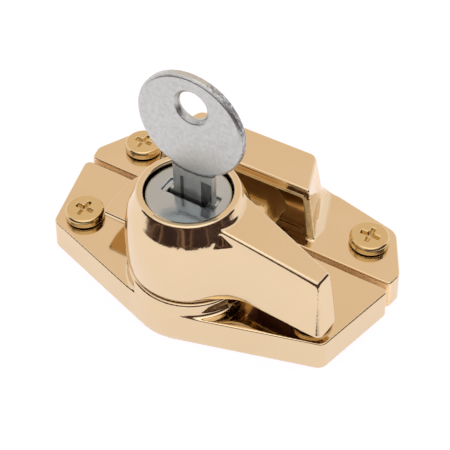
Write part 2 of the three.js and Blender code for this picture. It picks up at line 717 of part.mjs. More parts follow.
place('lock_plug', lockPlug(), zinc);
WAFER_LEVELS.forEach((level, i) => place(`wafer_${i + 1}`, wafer(level), screwBrass));
place('key', key(), zinc);
place('locking_bolt', lockingBolt(), steel);

export default assembly;
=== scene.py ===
"""Keyed window lock: the cast, plated and turned surfaces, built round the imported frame."""
import functools
import json
import math

import bpy
import numpy as np
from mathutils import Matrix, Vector


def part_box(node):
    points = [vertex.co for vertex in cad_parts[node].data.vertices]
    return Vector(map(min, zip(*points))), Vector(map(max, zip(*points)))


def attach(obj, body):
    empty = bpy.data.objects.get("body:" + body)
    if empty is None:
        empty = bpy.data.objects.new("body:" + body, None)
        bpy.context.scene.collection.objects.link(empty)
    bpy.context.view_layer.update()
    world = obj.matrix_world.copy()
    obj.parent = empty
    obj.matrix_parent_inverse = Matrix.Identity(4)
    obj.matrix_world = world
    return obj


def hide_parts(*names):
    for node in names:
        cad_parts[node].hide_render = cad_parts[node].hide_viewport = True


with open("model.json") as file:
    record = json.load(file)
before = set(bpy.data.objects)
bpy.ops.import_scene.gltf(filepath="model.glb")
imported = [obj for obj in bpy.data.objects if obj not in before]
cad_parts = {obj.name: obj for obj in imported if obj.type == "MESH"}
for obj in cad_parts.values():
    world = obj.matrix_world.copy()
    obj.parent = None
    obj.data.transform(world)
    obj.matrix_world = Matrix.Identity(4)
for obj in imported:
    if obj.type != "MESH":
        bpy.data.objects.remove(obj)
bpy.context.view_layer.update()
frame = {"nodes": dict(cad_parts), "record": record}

MM = 0.001
RAD = math.pi / 180


# ---- Places read from the frame, in millimetres ----
def node_box(node):
    low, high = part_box(node)
    return np.array(low) / MM, np.array(high) / MM


def centre_xy(node):
    low, high = node_box(node)
    return (low[0] + high[0]) / 2, (low[1] + high[1]) / 2


# ---- Distance fields: negative inside, in millimetres ----
def common(*fields):
    return functools.reduce(np.maximum, fields)


def union(*fields):
    return functools.reduce(np.minimum, fields)


def round_max(a, b, r):
    """Intersection whose edge is rounded to radius r."""
    inside = np.minimum(np.maximum(a + r, b + r), 0)
    return inside + np.hypot(np.maximum(a + r, 0), np.maximum(b + r, 0)) - r


def round_min(a, b, r):
    """Union whose inner corner is filled to radius r."""
    return -round_max(-a, -b, r)


def cut_out(body, tool, r):
    """Body without tool; the new edge is rounded to radius r."""
    return round_max(body, -tool, r)


def bar(x, half_x, y, half_y):
    """Distance to a bar along the third axis, half_x by half_y."""
    return common(np.abs(x) - half_x, np.abs(y) - half_y)


def plane_through(a, b, c, inner):
    """Distance to the plane of three points, negative on the side of the point inner."""
    a, b, c, inner = (np.array(p, float) for p in (a, b, c, inner))
    normal = np.cross(b - a, c - a)
    normal /= np.linalg.norm(normal)
    if normal @ (inner - a) > 0:
        normal = -normal
    return lambda x, y, z: normal[0] * (x - a[0]) + normal[1] * (y - a[1]) + normal[2] * (z - a[2])


def unit(vector):
    return vector / np.linalg.norm(vector)


def outline_field(corners):
    """Distance to a convex outline whose corners (x, y, radius) are rounded by arcs."""
    points = np.array([c[:2] for c in corners], float)
    middle = points.mean(0)
    arcs, edges = [], []
    for i, (_, _, radius) in enumerate(corners):
        here = points[i]
        back = unit(points[i - 1] - here)
        ahead = unit(points[(i + 1) % len(points)] - here)
        half = math.acos(back @ ahead) / 2
        arcs.append((here + unit(back + ahead) * radius / math.sin(half), radius, -back, -ahead))
        normal = np.array([ahead[1], -ahead[0]])
        if normal @ (middle - here) > 0:
            normal = -normal
        edges.append((normal, normal @ here))

    def field(x, y):
        distance = common(*(normal[0] * x + normal[1] * y - reach for normal, reach in edges))
        for centre, radius, out_a, out_b in arcs:
            dx, dy = x - centre[0], y - centre[1]
            in_corner = (dx * out_a[0] + dy * out_a[1] > 0) & (dx * out_b[0] + dy * out_b[1] > 0)
            distance = np.where(in_corner, np.hypot(dx, dy) - radius, distance)
        return distance

    return field


def smooth_table(points, steps=24):
    """A cubic curve through (height, radius) points, as a dense table for np.interp."""
    points = np.array(points, float)
    slopes = np.gradient(points[:, 1], points[:, 0])
    heights, radii = [], []
    for i in range(len(points) - 1):
        t = np.linspace(0, 1, steps, endpoint=False)
        z0, r0 = points[i]
        z1, r1 = points[i + 1]
        span = z1 - z0
        heights.append(z0 + t * span)
        radii.append(
            r0 * (1 + 2 * t) * (1 - t) ** 2 + r1 * t**2 * (3 - 2 * t)
            + span * (slopes[i] * t * (1 - t) ** 2 - slopes[i + 1] * t**2 * (1 - t))
        )
    last_height, last_radius = points[-1]
    return np.append(np.concatenate(heights), last_height), np.append(np.concatenate(radii), last_radius)


# ---- A closed quad surface from a field ----
GRID_MARGIN = 2.5
SLOPE_STEP = 0.02
SETTLE_ROUNDS = 4
LEAST_SLOPE = 0.1
LEAST_LENGTH = 1e-9
LONGEST_MOVE = 0.5


def net_surface(field, low, high, cell):
    """Vertices and quads of field = 0 inside a box, one vertex for each crossed cell."""
    low = np.array(low, float) - GRID_MARGIN * cell
    counts = np.ceil((np.array(high, float) + GRID_MARGIN * cell - low) / cell).astype(int) + 1
    axes = [low[k] + cell * np.arange(counts[k]) for k in range(3)]
    grid = np.broadcast_to(
        field(axes[0][:, None, None], axes[1][None, :, None], axes[2][None, None, :]), tuple(counts)
    )
    inside = grid < 0
    cells = tuple(counts - 1)
    total = cells[0] * cells[1] * cells[2]
    sums, hits = np.zeros((3, total)), np.zeros(total)
    quads = []
    for axis in range(3):
        start = [slice(None)] * 3
        end = [slice(None)] * 3
        start[axis], end[axis] = slice(None, -1), slice(1, None)
        crossed = np.argwhere(inside[tuple(start)] != inside[tuple(end)])
        ahead = crossed.copy()
        ahead[:, axis] += 1
        f0 = grid[tuple(crossed.T)]
        f1 = grid[tuple(ahead.T)]
        point = low + cell * crossed
        point[:, axis] += cell * f0 / (f0 - f1)
        u, v = (axis + 1) % 3, (axis + 2) % 3
        corners = []
        for du, dv in ((-1, -1), (0, -1), (0, 0), (-1, 0)):
            owner = crossed.copy()
            owner[:, u] += du
            owner[:, v] += dv
            index = np.ravel_multi_index(tuple(owner.T), cells)
            corners.append(index)
            hits += np.bincount(index, minlength=total)
            for k in range(3):
                sums[k] += np.bincount(index, weights=point[:, k], minlength=total)
        quad = np.stack(corners, 1)
        flipped = f0 > 0
        quad[flipped] = quad[flipped][:, ::-1]
        quads.append(quad)
    used = hits > 0
    number = np.cumsum(used) - 1
    vertices = (sums[:, used] / hits[used]).T
    return settle(field, vertices, cell), number[np.concatenate(quads)]


def settle(field, vertices, cell):
    """Moves each vertex onto the field's surface."""
    h = SLOPE_STEP
    for _ in range(SETTLE_ROUNDS):
        x, y, z = vertices.T
        value = field(x, y, z)
        slope = np.stack([
            field(x + h, y, z) - field(x - h, y, z),
            field(x, y + h, z) - field(x, y - h, z),
            field(x, y, z + h) - field(x, y, z - h),
        ], 1) / (2 * h)
        steepness = np.maximum((slope**2).sum(1), LEAST_SLOPE)
        move = -(value / steepness)[:, None] * slope
        length = np.maximum(np.linalg.norm(move, axis=1), LEAST_LENGTH)
        vertices = vertices + move * np.minimum(1, LONGEST_MOVE * cell / length)[:, None]
    return vertices


def build(name, made, cell, body, node, material, finishes=()):
    """A piece meshed from its field; finishes pairs masks of face centres with other materials."""
    vertices, quads = net_surface(*made, cell)
    mesh = bpy.data.meshes.new(name)
    mesh.from_pydata((vertices * MM).tolist(), [], quads.tolist())
    mesh.shade_smooth()
    mesh.materials.append(material)
    index = np.zeros(len(quads), np.int32)
    centres = vertices[quads].mean(1).T
    for i, (mask, finish) in enumerate(finishes):
        mesh.materials.append(finish)
        index[mask(*centres)] = i + 1
    mesh.polygons.foreach_set("material_index", index)
    obj = bpy.data.objects.new(name, mesh)
    bpy.context.collection.objects.link(obj)
    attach(obj, body)
    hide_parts(node)


# ---- Materials ----
def mix_colours(tree, factor, a, b):
    node = tree.nodes.new("ShaderNodeMix")
    node.data_type = "RGBA"
    for socket, value in zip((node.inputs[0], node.inputs[6], node.inputs[7]), (factor, a, b)):
        if isinstance(value, bpy.types.NodeSocket):
            tree.links.new(value, socket)
        else:
            socket.default_value = value
    return node.outputs[2]


class Nodes:
    """Short calls for building a node material."""

    def __init__(self, name):
        self.material = bpy.data.materials.new(name)
        self.material.use_nodes = True
        self.tree = self.material.node_tree
        self.shader = self.tree.nodes["Principled BSDF"]

    def set(self, node, key, value):
        socket = node.inputs[key]
        if isinstance(value, bpy.types.NodeSocket):
            self.tree.links.new(value, socket)
        else:
            socket.default_value = value

    def add(self, kind, **inputs):
        node = self.tree.nodes.new(kind)
        for key, value in inputs.items():
            self.set(node, key, value)
        return node

    def place(self, stretch):
        """Object coordinates, stretched along each axis."""
        coordinates = self.add("ShaderNodeTexCoord").outputs["Object"]
        return self.add("ShaderNodeMapping", Vector=coordinates, Scale=stretch).outputs["Vector"]

    def noise(self, scale, detail, stretch=(1, 1, 1), roughness=0.5):
        node = self.add("ShaderNodeTexNoise", Vector=self.place(stretch), Scale=scale, Detail=detail)
        self.set(node, "Roughness", roughness)
        return node.outputs["Fac"]

    def remap(self, value, low, high, from_low=0.3, from_high=0.7):
        """From noise's usual range to low and high."""
        node = self.add("ShaderNodeMapRange", Value=value)
        for key, number in (("From Min", from_low), ("From Max", from_high)):
            self.set(node, key, number)
        for key, number in (("To Min", low), ("To Max", high)):
            self.set(node, key, number)
        return node.outputs["Result"]

    def mix(self, factor, a, b):
        return mix_colours(self.tree, factor, a, b)

    def bump(self, height, distance):
        node = self.add("ShaderNodeBump", Height=height, Distance=distance)
        self.set(self.shader, "Normal", node.outputs["Normal"])


def rgba(r, g, b):
    return (r, g, b, 1.0)


TONE_SCALE, TONE_DETAIL = 90, 4
SMEAR_SCALE, SMEAR_DETAIL, SMEAR_ROUGHNESS = 260, 5, 0.6
RIPPLE_SCALE, RIPPLE_DETAIL = 420, 2
GRAIN_DETAIL, GRAIN_ROUGHNESS = 6, 0.65


def plated_material(name, light, deep, rough, ripple, metallic=1.0):
    """Smooth plating: slow tones, smeared gloss and a faint ripple, its height in millimetres."""
    n = Nodes(name)
    tone = n.remap(n.noise(TONE_SCALE, TONE_DETAIL), 0, 1)
    n.set(n.shader, "Base Color", n.mix(tone, light, deep))
    n.set(n.shader, "Metallic", metallic)
    smear = n.noise(SMEAR_SCALE, SMEAR_DETAIL, roughness=SMEAR_ROUGHNESS)
    n.set(n.shader, "Roughness", n.remap(smear, *rough))
    n.bump(n.noise(RIPPLE_SCALE, RIPPLE_DETAIL), ripple * MM)
    return n.material


def grained_material(name, light, deep, rough, stretch, scale, relief):
    """Tumbled, milled or turned metal: one grain drives tone, gloss and relief, in millimetres."""
    n = Nodes(name)
    grain = n.noise(scale, GRAIN_DETAIL, stretch, GRAIN_ROUGHNESS)
    n.set(n.shader, "Base Color", n.mix(n.remap(grain, 0, 1), light, deep))
    n.set(n.shader, "Metallic", 1.0)
    n.set(n.shader, "Roughness", n.remap(grain, *rough))
    n.bump(grain, relief * MM)
    return n.material


BRASS = plated_material(
    "plated_brass", rgba(0.76, 0.615, 0.40), rgba(0.74, 0.59, 0.37), rough=(0.07, 0.12), ripple=0.01
)
SCREW_BRASS = plated_material(
    "screw_brass", rgba(0.70, 0.54, 0.29), rgba(0.66, 0.49, 0.23), rough=(0.12, 0.18), ripple=0.02
)
# Painted light: a lighter, mostly diffuse brass that brightens faces in shade, in the plates' gap and
# inside the hood.
PAINTED_LIGHT_BRASS = plated_material(
    "painted_light_brass", rgba(0.95, 0.74, 0.44), rgba(0.74, 0.50, 0.24), rough=(0.12, 0.28), ripple=0.10,
    metallic=0.15,
)
# Painted glint: a bright, half diffuse brass on the rounded edge of the hood's mouth and the right jamb.
GLINT_PAINTED_BRASS = plated_material(
    "glint_painted_brass", rgba(0.95, 0.80, 0.46), rgba(0.62, 0.42, 0.14), rough=(0.10, 0.30), ripple=0.25,
    metallic=0.5,
)
# Painted shade: a dark reddish-brown, mostly diffuse brass inside the lever's arm and over the hub.
PAINTED_SHADE_INSIDE = plated_material(
    "painted_shade_inside", rgba(0.52, 0.28, 0.22), rgba(0.36, 0.18, 0.14), rough=(0.40, 0.55), ripple=0.04,
    metallic=0.2,
)
LOCK_ZINC = plated_material(
    "lock_zinc", rgba(0.53, 0.57, 0.58), rgba(0.43, 0.47, 0.48), rough=(0.10, 0.20), ripple=0.04
)
KEY_METAL = grained_material(
    "key_metal", rgba(0.61, 0.635, 0.61), rgba(0.50, 0.525, 0.50), rough=(0.28, 0.40),
    stretch=(1, 1, 1), scale=1400, relief=0.04,
)
# Painted light and shade: the bow's rim is mottled from bright to near black, over a real grain.
PAINTED_RIM_METAL = grained_material(
    "key_edge", rgba(0.75, 0.78, 0.76), rgba(0.06, 0.06, 0.06), rough=(0.20, 0.45),
    stretch=(1, 2, 1), scale=1700, relief=0.09,
)
# Painted shade: a darker copy of the key metal on the neck and blade, with a real milled grain.
KEY_NECK_SHADE = grained_material(
    "key_neck", rgba(0.60, 0.62, 0.59), rgba(0.42, 0.44, 0.41), rough=(0.35, 0.45),
    stretch=(3, 1, 0.4), scale=700, relief=0.02,
)
# Painted shade: a near-black copy of the key metal in the grooves and the corner under the bow.
KEY_RECESS_SHADE = grained_material(
    "key_recess", rgba(0.22, 0.22, 0.21), rgba(0.12, 0.12, 0.12), rough=(0.35, 0.50),
    stretch=(3, 1, 0.6), scale=700, relief=0.02,
)
STEEL = grained_material(
    "spindle_steel", rgba(0.50, 0.51, 0.52), rgba(0.40, 0.41, 0.42), rough=(0.25, 0.40),
    stretch=(1, 1, 12), scale=500, relief=0.02,
)
SPRING_STEEL = grained_material(
    "spring_steel", rgba(0.28, 0.28, 0.30), rgba(0.20, 0.20, 0.21), rough=(0.30, 0.45),
    stretch=(1, 1, 1), scale=700, relief=0.02,
)
WAFER_BRASS = grained_material(
    "wafer_brass", rgba(0.72, 0.52, 0.24), rgba(0.62, 0.42, 0.18), rough=(0.25, 0.40),
    stretch=(8, 1, 1), scale=600, relief=0.02,
)
CAD_FINISH = {
    "spindle_steel": STEEL, "spring_steel": SPRING_STEEL, "wafer_brass": WAFER_BRASS,
    "lock_zinc": LOCK_ZINC, "plated_brass": BRASS, "screw_brass": SCREW_BRASS, "key_metal": KEY_METAL,
}

# ---- Edge radii ----
SAWN_EDGE = 0.05
MACHINED_EDGE = 0.1
FOOT_EDGE = 0.15
BORE_EDGE = 0.15
CAST_EDGE = 0.2
RIM_EDGE = 0.25
SOFT_EDGE = 0.3

# ---- Both plates ----
PLATE_TOP = 6.0
PLATE_DRAFT = 0.45
PLATE_TOP_EDGE = 0.22
PLATE_WALL = 2.0
PLATE_CEILING = 3.6
SCREW_HOLE = 2.2
POST_RADIUS = 4.2
CORE_FOOT = 1.0


def drafted_slab(outline, x, y, z):
    """A plate with drafted sides and soft top edges, and the hollow under it."""
    side = outline(x, y) - PLATE_DRAFT * (1 - z / PLATE_TOP)
    slab = round_max(round_max(side, z - PLATE_TOP, PLATE_TOP_EDGE), -z, FOOT_EDGE)
    hollow = round_max(side + PLATE_WALL, z - PLATE_CEILING, SOFT_EDGE)
    return slab, hollow


def leave_posts(hollow, screws, x, y, z):
    for cx, cy in screws:
        post = common(np.hypot(x - cx, y - cy) - POST_RADIUS, CORE_FOOT - z)
        hollow = cut_out(hollow, post, SOFT_EDGE)
    return hollow


def drill_holes(body, screws, x, y):
    for cx, cy in screws:
        body = cut_out(body, np.hypot(x - cx, y - cy) - SCREW_HOLE, BORE_EDGE)
    return body


# ---- Base plate ----
BASE_CORNERS = [
    (-27.6, -3.4, 1.7),
    (0, -11.66, 11.17),
    (27.6, -3.4, 1.7),
    (32.1, 12.9, 0.9),
    (-32.1, 12.9, 1.1),
]
COLLAR_TOP = 8.7
COLLAR_RADIUS = 10.9
COLLAR_FLARE = 0.09
COLLAR_EDGE = 0.5
COLLAR_FILLET = 0.7
COLLAR_CORE = 11.0
HUB_RADIUS = 8.4
HUB_FOOT = 7.0
HUB_BORE = 6.7
WASHER_RECESS_RADIUS = 9.17
WASHER_RECESS_TOP = 4.6
LEVER_SWING = 135 * RAD
NOTCH_HALF_WIDTH = 2.3
NOTCH_FLOOR = 9.4


def bolt_notch(turn, x, y, z):
    """The notch in the hub that takes the bolt when the lever stands at an angle."""
    along = x * math.cos(turn) + y * math.sin(turn)
    across = -x * math.sin(turn) + y * math.cos(turn)
    return common(np.abs(across) - NOTCH_HALF_WIDTH, -along, NOTCH_FLOOR - z)


def base_plate_field():
    low, high = node_box("base_plate")
    outline = outline_field(BASE_CORNERS)
    screws = [centre_xy("base_screw_left"), centre_xy("base_screw_right")]

    def field(x, y, z):
        slab, hollow = drafted_slab(outline, x, y, z)
        rho = np.hypot(x, y)
        collar = rho - (COLLAR_RADIUS + COLLAR_FLARE * (COLLAR_TOP - z))
        collar = common(round_max(collar, z - COLLAR_TOP, COLLAR_EDGE), CORE_FOOT - z)
        core = round_max(rho - COLLAR_CORE, CORE_FOOT - z, MACHINED_EDGE)
        hollow = leave_posts(cut_out(hollow, core, CAST_EDGE), screws, x, y, z)
        body = round_min(cut_out(slab, hollow, CAST_EDGE), collar, COLLAR_FILLET)
        hub = common(round_max(rho - HUB_RADIUS, z - high[2], CAST_EDGE), HUB_FOOT - z)
        body = round_min(body, hub, MACHINED_EDGE)
        recess = round_max(rho - WASHER_RECESS_RADIUS, z - WASHER_RECESS_TOP, MACHINED_EDGE)
        body = cut_out(body, recess, BORE_EDGE)
        body = cut_out(body, rho - HUB_BORE, BORE_EDGE)
        for turn in (0, -LEVER_SWING):
            body = cut_out(body, bolt_notch(turn, x, y, z), MACHINED_EDGE)
        return common(drill_holes(body, screws, x, y), low[1] - y)

    return field, low, high


# ---- Keeper plate and hood ----
KEEPER_CORNERS = [
    (-31.6, 14.1, 0.8),
    (31.6, 14.1, 0.8),
    (32.2, 16.9, 2.0),
    (27.6, 25.9, 3.0),
    (14.5, 28.9, 2.0),
    (-14.5, 28.9, 2.0),
    (-27.6, 25.9, 3.0),
    (-32.2, 16.9, 2.0),
]
HOOD_TOP = 17.1
HOOD_FOOT = 4.0
HOOD_WALL = 1.4
HOOD_HEART = (-1, 21, 10)
HOOD_RIGHT = plane_through((15.8, 16.4, 5), (13.6, 17, HOOD_TOP), (10.7, 25.8, HOOD_TOP), HOOD_HEART)
HOOD_LEFT = plane_through((-18.6, 16.4, 5), (-16.6, 17, HOOD_TOP), (-13.7, 25.8, HOOD_TOP), HOOD_HEART)
HOOD_FRONT = plane_through((0, 16.4, 5), (0, 17.0, HOOD_TOP), (9, 16.4, 5), HOOD_HEART)
HOOD_REAR = plane_through((0, 28.7, 5), (0, 25.9, HOOD_TOP), (9, 28.7, 5), HOOD_HEART)
HOOD_REAR_EDGE = 1.2
HOOD_FRONT_EDGE = 0.35
HOOD_TOP_EDGE = 0.55
HOOD_FILLET = ([17.2, 20], [0.7, 2.8])
CAVITY_TOP = 15.5
CAVITY_FRONT = 18.2
CAVITY_REAR_EDGE = 1.0
CAVITY_TOP_EDGE = 0.6
MOUTH_TOP = 14.6
MOUTH_FRONT = 15.0
MOUTH_REAR = 18.6
MOUTH_CORNER = 0.5
MOUTH_EDGE = 0.4


def hood_ends(x, y, z):
    return round_max(HOOD_LEFT(x, y, z), HOOD_RIGHT(x, y, z), SOFT_EDGE)


def hood_mouth(x, y, z):
    """The opening that the cam swings into."""
    mouth = round_max(hood_ends(x, y, z) + HOOD_WALL, z - MOUTH_TOP, MOUTH_CORNER)
    return common(mouth, PLATE_TOP - z, MOUTH_FRONT - y, y - MOUTH_REAR)


def hood_cavity(x, y, z):
    cavity = round_max(hood_ends(x, y, z) + HOOD_WALL, HOOD_REAR(x, y, z) + HOOD_WALL, CAVITY_REAR_EDGE)
    cavity = round_max(round_max(cavity, z - CAVITY_TOP, CAVITY_TOP_EDGE), PLATE_TOP - z, SOFT_EDGE)
    return common(cavity, CAVITY_FRONT - y)


def keeper_field():
    low, high = node_box("keeper_plate")
    outline = outline_field(KEEPER_CORNERS)
    screws = [centre_xy("keeper_screw_left"), centre_xy("keeper_screw_right")]

    def field(x, y, z):
        slab, hollow = drafted_slab(outline, x, y, z)
        slab = cut_out(slab, leave_posts(hollow, screws, x, y, z), CAST_EDGE)
        walls = round_max(hood_ends(x, y, z), HOOD_REAR(x, y, z), HOOD_REAR_EDGE)
        walls = round_max(walls, HOOD_FRONT(x, y, z), HOOD_FRONT_EDGE)
        hood = common(round_max(walls, z - HOOD_TOP, HOOD_TOP_EDGE), HOOD_FOOT - z)
        body = round_min(slab, hood, np.interp(y, *HOOD_FILLET))
        body = common(body, outline(x, y) - PLATE_DRAFT)
        body = cut_out(body, hood_cavity(x, y, z), RIM_EDGE)
        body = cut_out(body, hood_mouth(x, y, z), MOUTH_EDGE)
        return drill_holes(body, screws, x, y)

    return field, low, high


GAP_FRONT, GAP_REAR, GAP_TOP = 12.6, 14.6, 5.6
INSIDE_MIDDLE, INSIDE_HALF = -1.5, 14.2
INSIDE_FRONT, INSIDE_REAR = 16.6, 26.0
INSIDE_FLOOR, INSIDE_TOP = 6.2, 15.7
JAMB_LEFT, JAMB_TOP, JAMB_REACH = 11.5, 15.0, 1.5
LIP_REACH, LIP_REAR, LIP_FLOOR = 0.75, 17.4, 6.4


def plates_gap(x, y, z):
    """The walls that face each other across the gap between the plates, which get painted light in their
    shade.
    """
    return (y > GAP_FRONT) & (y < GAP_REAR) & (z < GAP_TOP)


# The hood's cavity, which gets painted light in its shade.
def hood_inside(x, y, z):
    across = (np.abs(x - INSIDE_MIDDLE) < INSIDE_HALF) & (y > INSIDE_FRONT) & (y < INSIDE_REAR)
    return across & (z > INSIDE_FLOOR) & (z < INSIDE_TOP)


def hood_lip(x, y, z):
    """The rounded edge around the mouth, and the right jamb's front face, which get a painted glint."""
    reach = np.where((x > JAMB_LEFT) & (z < JAMB_TOP), JAMB_REACH, LIP_REACH)
    return (hood_mouth(x, y, z) < reach) & (y < LIP_REAR) & (z > LIP_FLOOR)


# ---- Lever: boss and ring ----
LEVER_FOOT = 9.1
RING_TOP = 25.3
RING_CROWN = 0.012
RING_CREST = 8.0
BOSS_PROFILE = smooth_table([
    (8.0, 10.40), (9.1, 10.60), (10.2, 10.9), (11.8, 11.05), (13.6, 11.05), (16.0, 10.95), (18.5, 10.72),
    (20.2, 10.45), (21.2, 10.22), (21.9, 9.98), (23.0, 9.5), (24.0, 9.06), (25.0, 8.62), (26.5, 7.96),
])
PROFILE_STEP = 0.1
LOCK_BORE, LOCK_BORE_FLOOR = 7.4, 14.2
HUB_ROOM, HUB_ROOM_TOP = 8.8, 12.6
SPINDLE_HOLE = 3.2
ARM_FILLET = ([9, 18, 21, 22.8], [3.4, 3.2, 2.2, 0.3])
CAM_FILLET = 1.5

# ---- Lever: arm. Each line is (value, slope, x where it starts) ----
ARM_TOP = (23.5, -0.345, 9.1)
ARM_RIDGE = (-4.35, 0.1523, 7.5)
ARM_REAR_FOOT = (5.4, -0.24, 8)
ARM_REAR_RIDGE = (4.9, -0.177, 7)
ARM_FRONT_FOOT = ([8, 14, 18.7, 22.5, 25.2, 28], [-4.35, -4.38, -4.62, -4.80, -4.98, -5.05])
ARM_END = plane_through((27.5, -5.0, LEVER_FOOT), (28.0, 0.6, LEVER_FOOT), (24.9, -1.7, 18.05), (16, 0, 12))
ARM_LEAST_RISE = 4
ARM_START = 3.0
ARM_RIDGE_EDGE = 0.48
ARM_REAR_EDGE = 0.4
END_TOP_EDGE, END_FOOT_EDGE, END_EDGE_HEIGHT, END_EDGE_GROWTH = 0.28, 1.2, 16.5, 0.13
ARM_WALL = 1.7
HOLLOW_EDGE = 0.6
HOLLOW_START = 12.6
HOLLOW_START_EDGE = 0.5
HOLLOW_REACH = 0.12

# ---- Lever: cam ----
CAM_LOW, CAM_TOP = 10.2, 12.4
CAM_START, CAM_END = 51 * RAD, 183 * RAD
CAM_RADII = [20.0, 20.3, 20.5, 20.5, 20.5, 20.5, 20.4, 19.0, 17.75]
CAM_TOP_EDGE = 0.35
CAM_CREST_X, CAM_FALL_LENGTH, CAM_FALL = -3, 9, 1.2
CAM_SLOPE = (6.7, 0.542, 0.84)
CAM_SLOPE_EDGE = 0.5
CAM_TAIL = (-0.85, -0.966, 0.259)


def line(x, value, slope, start):
    return value + (x - start) * slope


def flank(y, t, foot, ridge, rise):
    """Distance past a flank that leans from its foot to its ridge."""
    return (y - foot - (ridge - foot) * t) / np.sqrt(1 + ((ridge - foot) / rise) ** 2)


def arm_faces(x, y, z):
    """Distances to the arm's front flank, top, rear flank and end."""
    top_z = line(x, *ARM_TOP)
    rise = np.maximum(top_z - LEVER_FOOT, ARM_LEAST_RISE)
    t = (z - LEVER_FOOT) / rise
    front = -flank(y, t, np.interp(x, *ARM_FRONT_FOOT), line(x, *ARM_RIDGE), rise)
    rear = flank(y, t, line(x, *ARM_REAR_FOOT), line(x, *ARM_REAR_RIDGE), rise)
    top = (z - top_z) / math.hypot(1, ARM_TOP[1])
    return front, top, rear, ARM_END(x, y, z)


def arm_hollow(x, y, z):
    front, top, rear, end = arm_faces(x, y, z)
    sides = round_max(front, rear, HOLLOW_EDGE)
    hollow = round_max(sides, round_max(top, end, HOLLOW_EDGE), HOLLOW_EDGE) + ARM_WALL
    return round_max(hollow, HOLLOW_START - x, HOLLOW_START_EDGE)


def cam_body(x, y, z, rho):
    """The spiral cam that draws the keeper in."""
    angle = np.mod(np.arctan2(y, x), 2 * math.pi)
    reach = np.interp(angle, np.linspace(CAM_START, CAM_END, len(CAM_RADII)), CAM_RADII)
    fall = np.clip((CAM_CREST_X - x) / CAM_FALL_LENGTH, 0, 1) * CAM_FALL
    slope_x, lean_x, lean_z = CAM_SLOPE
    tail_y, tail_lean_y, tail_lean_z = CAM_TAIL
    body = round_max(rho - reach, z - CAM_TOP + fall, CAM_TOP_EDGE)
    body = round_max(body, CAM_LOW - z, CAST_EDGE)
    body = round_max(body, (x - slope_x) * lean_x + (z - CAM_TOP) * lean_z, CAM_SLOPE_EDGE)
    body = round_max(body, x * math.sin(CAM_START) - y * math.cos(CAM_START), SOFT_EDGE)
    return round_max(body, (y - tail_y) * tail_lean_y + (z - CAM_LOW) * tail_lean_z, RIM_EDGE)


def lever_field():
    low, high = node_box("lever_handle")

    def field(x, y, z):
        rho = np.hypot(x, y)
        above, below = (np.interp(z + step, *BOSS_PROFILE) for step in (PROFILE_STEP, -PROFILE_STEP))
        slope = (above - below) / (2 * PROFILE_STEP)
        boss = (rho - np.interp(z, *BOSS_PROFILE)) / np.sqrt(1 + slope**2)
        front, top, rear, end = arm_faces(x, y, z)
        arm = round_max(round_max(front, top, ARM_RIDGE_EDGE), rear, ARM_REAR_EDGE)
        end_edge = END_TOP_EDGE + (END_EDGE_HEIGHT - z) * END_EDGE_GROWTH
        arm = round_max(arm, end, np.clip(end_edge, END_TOP_EDGE, END_FOOT_EDGE))
        arm = common(arm, ARM_START - x)
        body = round_min(boss, arm, np.interp(z, *ARM_FILLET))
        body = round_min(body, cam_body(x, y, z, rho), CAM_FILLET)
        body = round_max(body, LEVER_FOOT - z, RIM_EDGE)
        body = round_max(body, z - RING_TOP + RING_CROWN * (rho - RING_CREST) ** 2, RIM_EDGE)
        body = cut_out(body, arm_hollow(x, y, z), CAST_EDGE)
        body = cut_out(body, common(rho - LOCK_BORE, LOCK_BORE_FLOOR - z), CAST_EDGE)
        body = cut_out(body, common(rho - HUB_ROOM, z - HUB_ROOM_TOP), MACHINED_EDGE)
        return cut_out(body, rho - SPINDLE_HOLE, MACHINED_EDGE)

    return field, low, high


def lever_inside(x, y, z):
    """Faces of the arm's hollow and of the cavity over the hub, which get painted shade."""
    hub_room = (np.hypot(x, y) < HUB_ROOM + CAST_EDGE) & (z < HUB_ROOM_TOP + CAST_EDGE)
    return (arm_hollow(x, y, z) < HOLLOW_REACH) | hub_room


# ---- Key ----
KEY_HALF = 0.8
DIAGONAL = 0.7071
BOW_X, BOW_Z, BOW_RADIUS = 0.95, 39.37, 9.3
BOW_EDGE = 0.2
BOW_CHAMFER = 0.36
HOLE_X, HOLE_Z, HOLE_RADIUS = 1.45, 43.3, 2.5
HOLE_CHAMFER = 0.55
NECK_LEFT, NECK_RIGHT = -2.6, 5.05
NECK_FOOT, NECK_TOP = 24.3, 31.5
NECK_STEP = 0.25
BLADE_HALF = 3.3
BLADE_TIP = 15.9
BLADE_TIP_EDGE = 1.2
BLADE_LAP = 0.2
WAFER_LEVELS = (17.0, 18.6, 20.2, 21.8)
CUT_X, CUT_HALF_HEIGHT = 2.8, 0.45
# Grooves are (middle x, half width, depth).
WIDE_GROOVE, WIDE_GROOVE_TOP = (3.65, 0.95, 0.4), 28.6
THIN_GROOVE, THIN_GROOVE_TOP = (-0.85, 0.2, 0.3), 28.2
REAR_GROOVE = (-0.6, 0.8, 0.35)
GROOVE_END = 0.1


def bow_rim(x, z):
    return np.hypot(x - BOW_X, z - BOW_Z) - BOW_RADIUS


def groove(x, depth_y, middle, half, depth):
    return bar(x - middle, half, depth_y, depth)


def key_grooves(x, y, z):
    """Milled grooves along the blade, up to the bow's edge."""
    wide = common(groove(x, y + KEY_HALF, *WIDE_GROOVE), z - WIDE_GROOVE_TOP)
    thin = common(groove(x, y + KEY_HALF, *THIN_GROOVE), z - THIN_GROOVE_TOP)
    rear = groove(x, y - KEY_HALF, *REAR_GROOVE)
    return common(union(wide, thin, rear), GROOVE_END - bow_rim(x, z))


